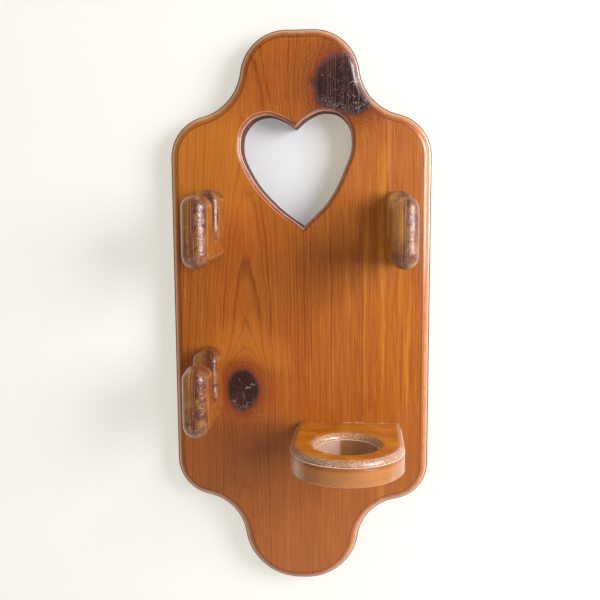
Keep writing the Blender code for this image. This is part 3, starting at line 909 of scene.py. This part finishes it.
def place_by_nodes(name, tree, values, points):
    """One plain mesh of what the node tree makes at the points."""
    mesh = bpy.data.meshes.new(name)
    mesh.from_pydata(points, [], [])
    piece = new_object(name, mesh)
    modifier = piece.modifiers.new(name, "NODES")
    modifier.node_group = tree
    set_inputs(modifier, values)
    return plain_mesh(piece)


def geometry_node(tree, kind, inputs=(), output=0, **settings):
    return add_node(tree, "GeometryNode" + kind, inputs, output, **settings)


def xyz(tree, x=0.0, y=0.0, z=0.0):
    return add_node(tree, "CombineXYZ", (x, y, z))


def raised(geometry, height):
    """A geometry moved up by a number or a field."""
    step = xyz(geometry.tree, z=height)
    return geometry_node(geometry.tree, "Transform", {"Geometry": geometry, "Translation": step})


def joined(tree, *geometries):
    node = tree.nodes.new("GeometryNodeJoinGeometry")
    for geometry in geometries:
        tree.links.new(geometry.socket, node.inputs[0])
    return Field(tree, node.outputs[0])


def rod(tree, sides, radius, depth):
    return geometry_node(tree, "MeshCylinder", {"Vertices": sides, "Radius": radius, "Depth": depth})


def cone(tree, sides, low, high, depth, bands=1):
    return geometry_node(tree, "MeshCone", {
        "Vertices": sides, "Side Segments": bands, "Radius Bottom": low, "Radius Top": high, "Depth": depth})


def place_copies(tree, given, result, part, rotation=None):
    """Puts the part at each vertex as real geometry of the given material."""
    placed = geometry_node(tree, "InstanceOnPoints", {
        "Points": given["Geometry"], "Instance": part, "Rotation": rotation})
    real = geometry_node(tree, "RealizeInstances", {"Geometry": placed})
    painted = geometry_node(tree, "SetMaterial", {"Geometry": real, "Material": given["Finish"]})
    plug(result, {"Geometry": painted})


def start_geometry(name, **sizes):
    """A geometry tree whose inputs are the points, the named sizes and the finish."""
    inputs = [("Geometry", "Geometry", None)]
    for label, value in sizes.items():
        inputs.append((label.replace("_", " "), "Int" if isinstance(value, int) else "Float", value))
    inputs.append(("Finish", "Material", None))
    return start_group(name, inputs, [("Geometry", "Geometry")], "GeometryNodeTree")


def build_screw_tree():
    """Slotted screws with a turned head, a shank, a thread and a point, one at each vertex."""
    tree, given, result = start_geometry(
        "slotted screws", Head_Radius=SCREW_HEAD_RADIUS, Head_Depth=SCREW_HEAD_DEPTH,
        Shank_Radius=SCREW_SHANK_RADIUS, Length=SCREW_LENGTH, Point=SCREW_POINT, Pitch=SCREW_PITCH,
        Slot_Width=SCREW_SLOT_WIDTH, Slot_Depth=SCREW_SLOT_DEPTH, Seed=SCREW_SEED)
    core = given["Shank Radius"] * 0.80
    head = cone(tree, 32, core, given["Head Radius"], given["Head Depth"])
    head = raised(head, given["Head Depth"] * -1.0)
    size = xyz(tree, given["Head Radius"] * 3.0, given["Slot Width"], given["Slot Depth"] * 2.0)
    slot_box = geometry_node(tree, "MeshCube", {"Size": size})
    head = geometry_node(tree, "MeshBoolean", (head, slot_box), operation="DIFFERENCE")
    straight = given["Length"] - given["Point"]
    body = straight - given["Head Depth"]
    shank = raised(rod(tree, 20, core, body), (straight + given["Head Depth"]) * -0.5)
    point = raised(cone(tree, 20, 0.0001, core, given["Point"]), given["Length"] * -1.0)
    threaded = body * 0.75
    thread_radius = given["Shank Radius"] * 0.86
    spiral = geometry_node(tree, "CurveSpiral", {
        "Resolution": 16, "Rotations": threaded / given["Pitch"], "Start Radius": thread_radius,
        "End Radius": thread_radius, "Height": threaded})
    crest = geometry_node(tree, "CurvePrimitiveCircle", {"Resolution": 4, "Radius": given["Pitch"] * 0.13})
    thread = geometry_node(tree, "CurveToMesh", {
        "Curve": spiral, "Profile Curve": crest, "Fill Caps": True})
    thread = raised(thread, straight * -1.0)
    spin = add_node(tree, "FunctionNodeRandomValue", {"Min": 0.0, "Max": math.pi, "Seed": given["Seed"]},
                    data_type="FLOAT")
    outputs = spin.socket.node.outputs
    spin = Field(tree, next(output for output in outputs if output.type == "VALUE"))
    turn = xyz(tree, -math.pi / 2, spin)
    place_copies(tree, given, result, joined(tree, head, shank, point, thread), turn)
    return tree


def build_metal_finish(name, color, dull, rust):
    """Plated steel, duller in patches and with a little rust."""
    made, tree, shader, place = start_finish(name, 0.35, 0.1)
    patches = noise(place, 0.35, 4.0, 0.6)
    wear = place_group(tree, WEAR_GROUP, {"Position": place, "Run": 0.5, "Amount": 0.2})
    shade = blend(fade(patches, 0.40, 0.65), color, dull)
    shade = blend(wear["Rubbed"] * 0.6, shade, rust)
    plug(shader, {"Base Color": shade, "Metallic": 1.0,
                  "Roughness": fade(patches, 0.35, 0.70, 0.28, 0.52)})
    bump_to(shader, patches + wear["Scratch"], 0.00003)
    return made


zinc = build_metal_finish("zinc-plated steel", srgb(196, 194, 188), srgb(150, 148, 144), srgb(112, 74, 50))
places = screw_places()
screws = place_by_nodes("countersunk_screws", build_screw_tree(), {"Finish": zinc},
                        [place for name, place, fixed in places])
bores = {name: bore_for_screw(name, place) for name, place, fixed in places}
for piece in (*hooks.values(), shelf):
    cut_holes(piece, [bores[name] for name, place, fixed in places if fixed is piece])
hand_over(screws, "zinc_steel", *[name for name, place, fixed in places])

# ---------------------------------------------------------------------------------------------
# Sawtooth hanger
# A strip of brass-plated steel with a row of teeth along its lower edge, let into the back of
# the board near the top and held by two round-headed nails. A pocket below it takes the head of
# the nail in the wall.
# ---------------------------------------------------------------------------------------------
HANGER_Z = 0.1690
HANGER_WIDTH = 0.0460
HANGER_HEIGHT = 0.0095
HANGER_THICKNESS = 0.0010
HANGER_TEETH = 9
HANGER_TOOTH_WIDTH = 0.0028
HANGER_TOOTH_DEPTH = 0.0018
RECESS_DEPTH = 0.0036
RECESS_MARGIN = 0.0015
POCKET_WIDTH = 0.0280
POCKET_HEIGHT = 0.0085
POCKET_DEPTH = 0.0075
NAIL_SPREAD = 0.0190
NAIL_LENGTH = 0.0130
NAIL_HEAD_RADIUS = 0.0020
NAIL_HEAD_THICKNESS = 0.0007
NAIL_SHANK_RADIUS = 0.0007
NAIL_POINT = 0.0025


def build_hanger_tree():
    """A toothed strip: a zigzag line raised to a straight top edge, then given its thickness."""
    tree, given, result = start_geometry(
        "toothed strip", Width=HANGER_WIDTH, Height=HANGER_HEIGHT, Thickness=HANGER_THICKNESS,
        Teeth=HANGER_TEETH, Tooth_Width=HANGER_TOOTH_WIDTH, Tooth_Depth=HANGER_TOOTH_DEPTH)
    corners = given["Teeth"] * 2.0 + 3.0
    line = geometry_node(tree, "MeshLine", {"Count": corners})
    index = geometry_node(tree, "InputIndex")
    half = (corners - 1.0) * 0.5
    from_middle = index - half
    is_end = calc(tree, "COMPARE", calc(tree, "ABSOLUTE", from_middle), half, 0.1)
    inside = 1.0 - is_end
    end_x = calc(tree, "SIGN", from_middle) * (given["Width"] * 0.5)
    x = from_middle * (given["Tooth Width"] * 0.5) * inside + end_x * is_end
    even = 1.0 - calc(tree, "MODULO", index, 2.0)
    z = given["Height"] * -0.5 + even * inside * given["Tooth Depth"]
    zigzag = geometry_node(tree, "SetPosition", {"Geometry": line, "Position": xyz(tree, x, 0.0, z)})
    sheet = geometry_node(tree, "ExtrudeMesh", {
        "Mesh": zigzag, "Offset": xyz(tree, z=given["Height"]), "Offset Scale": 1.0}, mode="EDGES")
    own = split(geometry_node(tree, "InputPosition"))
    level = xyz(tree, own[0], 0.0, given["Height"] * 0.5)
    straight = geometry_node(tree, "SetPosition", {
        "Geometry": sheet, "Selection": sheet.beside("Top"), "Position": level})
    thick = geometry_node(tree, "ExtrudeMesh", {
        "Mesh": straight, "Offset": xyz(tree, y=given["Thickness"]), "Offset Scale": 1.0,
        "Individual": False}, mode="FACES")
    solid = geometry_node(tree, "MergeByDistance", {
        "Geometry": joined(tree, thick, straight), "Distance": 1e-6})
    place_copies(tree, given, result, solid)
    return tree


def build_nail_tree():
    """Small nails with a slightly domed head, one at each vertex, driven along -y."""
    tree, given, result = start_geometry(
        "hanger nails", Head_Radius=NAIL_HEAD_RADIUS, Head_Thickness=NAIL_HEAD_THICKNESS,
        Shank_Radius=NAIL_SHANK_RADIUS, Length=NAIL_LENGTH, Point=NAIL_POINT)
    head, thickness = given["Head Radius"], given["Head Thickness"]
    dome = raised(cone(tree, 24, head, head * 0.72, thickness, 3), thickness * -1.0)
    body = given["Length"] - given["Point"]
    shank = raised(rod(tree, 14, given["Shank Radius"], body), body * -0.5)
    point = cone(tree, 14, 0.0001, given["Shank Radius"], given["Point"])
    point = raised(point, given["Length"] * -1.0)
    place_copies(tree, given, result, joined(tree, dome, shank, point), (-math.pi / 2, 0.0, 0.0))
    return tree


brass = build_metal_finish("brass-plated steel", srgb(190, 160, 92), srgb(150, 122, 70), srgb(104, 66, 40))
strip_front = GAP - RECESS_DEPTH
hanger = place_by_nodes("toothed_hanger", build_hanger_tree(), {"Finish": brass},
                        [(0, strip_front, HANGER_Z)])
head_top = 2 * GAP - RECESS_DEPTH + HANGER_THICKNESS + NAIL_HEAD_THICKNESS
nail_places = [(-NAIL_SPREAD, head_top, HANGER_Z), (NAIL_SPREAD, head_top, HANGER_Z)]
nails = place_by_nodes("hanger_nails", build_nail_tree(), {"Finish": zinc}, nail_places)


def hanger_cutters():
    """The recess for the strip, the pocket for the wall nail, and the nails' own holes."""
    half_width = HANGER_WIDTH / 2 + RECESS_MARGIN
    half_height = HANGER_HEIGHT / 2 + RECESS_MARGIN
    recess = box_cutter("hanger_recess", (-half_width, -RECESS_DEPTH, HANGER_Z - half_height),
                        (half_width, RECESS_DEPTH, HANGER_Z + half_height))
    pocket_top = HANGER_Z - HANGER_HEIGHT / 2 + HANGER_TOOTH_DEPTH
    pocket = box_cutter("nail_head_pocket", (-POCKET_WIDTH / 2, -POCKET_DEPTH, pocket_top - POCKET_HEIGHT),
                        (POCKET_WIDTH / 2, POCKET_DEPTH, pocket_top))
    radius = NAIL_SHANK_RADIUS + GAP
    profile = [(radius, -OVERCUT), (radius, NAIL_LENGTH - NAIL_POINT), (0.0001, NAIL_LENGTH + GAP)]
    holes = [turned_cutter(f"nail_hole_{index}", profile, place) for index, place in enumerate(nail_places)]
    return recess, pocket, holes


recess, pocket, nail_holes = hanger_cutters()
cut_holes(hanger, nail_holes)
cut_holes(board, [recess, pocket, *nail_holes, *bores.values()])
for vertex, run in zip(board.data.vertices, board.data.attributes["edge_run"].data):
    if vertex.co.y > BOARD_ROUND - BOARD_THICKNESS:
        run.value = 1.0
for cutter in (recess, pocket, *nail_holes, *bores.values()):
    bpy.data.objects.remove(cutter)
hand_over(hanger, "brass_steel", "sawtooth_hanger")
hand_over(nails, "zinc_steel", "hanger_nail_left", "hanger_nail_right")

hand_over(board, "board_pine", "back_board")
for name, hook in hooks.items():
    hand_over(hook, "hook_pine", name)
hand_over(shelf, "shelf_pine", "ring_shelf")

# ---------------------------------------------------------------------------------------------
# Surroundings
# A pale wall that the rack hangs on, a pale floor below it, and soft light from a window to the
# right with a weaker fill.
# ---------------------------------------------------------------------------------------------
WALL_Y = 0.0005
WALL_INSET = 0.004
ROOM_LEFT, ROOM_RIGHT = -1.5, 1.5
FLOOR_Z, WALL_TOP = -0.7, 1.2
FLOOR_FRONT, FLOOR_BACK = -2.0, 1.5
WALL_GREY = (0.40, 0.40, 0.40, 1)
WALL_GLOW = (0.53, 0.51, 0.45, 1)
PATCH_GREY = (0.56, 0.56, 0.57, 1)
PATCH_GLOW_LEFT = (0.165, 0.165, 0.17, 1)
PATCH_GLOW_RIGHT = (0.31, 0.27, 0.20, 1)
FLOOR_PALE = (0.80, 0.79, 0.77, 1)


def build_surface(name, corners, color):
    mesh = bpy.data.meshes.new(name)
    mesh.from_pydata(corners, [], [range(len(corners))])
    surface = new_object(name, mesh)
    paint = bpy.data.materials.new(name + "_paint")
    paint.use_nodes = True
    plug(paint.node_tree.nodes["Principled BSDF"].inputs, {"Base Color": color, "Roughness": 0.9})
    mesh.materials.append(paint)
    return surface, paint


def rectangle(corner, opposite):
    """Four corners of an upright or a level rectangle that spans x from corner to opposite."""
    (left, front, low), (right, back, high) = corner, opposite
    return [(left, front, low), (right, front, low), (right, back, high), (left, back, high)]


wall, wall_paint = build_surface(
    "wall", rectangle((ROOM_LEFT, WALL_Y, FLOOR_Z), (ROOM_RIGHT, WALL_Y, WALL_TOP)), WALL_GREY)
build_surface("floor", rectangle((ROOM_LEFT, FLOOR_FRONT, FLOOR_Z), (ROOM_RIGHT, FLOOR_BACK, FLOOR_Z)),
              FLOOR_PALE)


def open_wall():
    """Opens the wall behind the board, so that the board's back is lit and seen from behind."""
    form = bmesh.new()
    form.from_mesh(wall.data)
    form.faces.remove(form.faces[:][0])
    outline = board_outline()
    inset = [Vector(point) + step * WALL_INSET for point, step in zip(outline, inward_normals(outline))]
    ring = [form.verts.new((point.x, WALL_Y, point.y)) for point in inset]
    for index in range(len(ring)):
        form.edges.new((ring[index - 1], ring[index]))
    bmesh.ops.triangle_fill(form, use_beauty=True, edges=form.edges[:])
    for face in form.faces:
        face.normal_update()
        if face.normal.y > 0:
            face.normal_flip()
    form.to_mesh(wall.data)
    form.free()


def see_through_from_behind(paint, glow):
    """Paint that shows only from the front, and glows a little so that shadows on it stay soft."""
    tree = paint.node_tree
    shader = tree.nodes["Principled BSDF"]
    plug(shader.inputs, {"Emission Color": glow, "Emission Strength": 1.0})
    clear = add_node(tree, "BsdfTransparent")
    behind = add_node(tree, "NewGeometry", (), "Backfacing")
    mixed = add_node(tree, "MixShader", (behind, Field(tree, shader.outputs[0]), clear))
    plug(tree.nodes["Material Output"].inputs, {"Surface": mixed})


def build_wall_in_heart():
    """The wall seen through the heart, warmer to the right where the sawn edge reflects on it."""
    outline = clean_loop(heart_outline())
    steps = inward_normals(outline)
    points = [Vector(point) - step * WALL_INSET for point, step in zip(outline, steps)]
    corners = [(point.x, WALL_Y, point.y) for point in points]
    patch, paint = build_surface("wall_in_heart", corners, PATCH_GREY)
    across = split(add_node(paint.node_tree, "TexCoord", (), "Object"))[0]
    bounce = blend(fade(across, -0.010, 0.034), PATCH_GLOW_LEFT, PATCH_GLOW_RIGHT)
    see_through_from_behind(paint, bounce)


open_wall()
see_through_from_behind(wall_paint, WALL_GLOW)
build_wall_in_heart()


def area_light(name, place, size, energy, color, shines=True, lights=True):
    """A rectangular light that faces the middle of the board."""
    lamp = bpy.data.lights.new(name, "AREA")
    lamp.shape = "RECTANGLE"
    lamp.size, lamp.size_y = size
    lamp.energy = energy
    lamp.color = color
    holder = new_object(name, lamp)
    holder.location = place
    holder.rotation_euler = (-Vector(place)).to_track_quat("-Z", "Y").to_euler()
    holder.visible_glossy = shines
    holder.visible_diffuse = lights


area_light("window", (1.05, -0.80, 0.32), (0.62, 0.75), 25, (0.95, 0.96, 1.0))
area_light("window_sheen", (1.02, -0.86, 0.30), (1.15, 0.85), 15, (0.92, 0.87, 0.98), lights=False)
area_light("fill", (-0.9, -1.5, 0.9), (1.4, 1.4), 5, (1.0, 0.97, 0.93), shines=False)
area_light("behind", (0.9, 1.3, 0.6), (1.2, 1.2), 9, (1.0, 1.0, 1.0), shines=False)


def build_world():
    """Even room light, much darker where it would only veil the varnish."""
    world = bpy.data.worlds.new("soft room light")
    world.use_nodes = True
    glossy = add_node(world.node_tree, "LightPath", (), "Is Glossy Ray")
    plug(world.node_tree.nodes["Background"].inputs, {
        "Color": (0.98, 0.95, 0.90, 1), "Strength": glossy * -0.22 + 0.32})
    bpy.context.scene.world = world


build_world()
bpy.context.scene.view_settings.view_transform = "Standard"

camera_data = bpy.data.cameras.new("camera")
camera_data.lens = 46.8
camera_data.sensor_width = 36
camera = new_object("camera", camera_data)
camera.location = (0.04554, -0.5690, 0.07824)
camera.rotation_euler = (math.radians(82.94), math.radians(0.307), math.radians(4.685))
bpy.context.scene.camera = camera
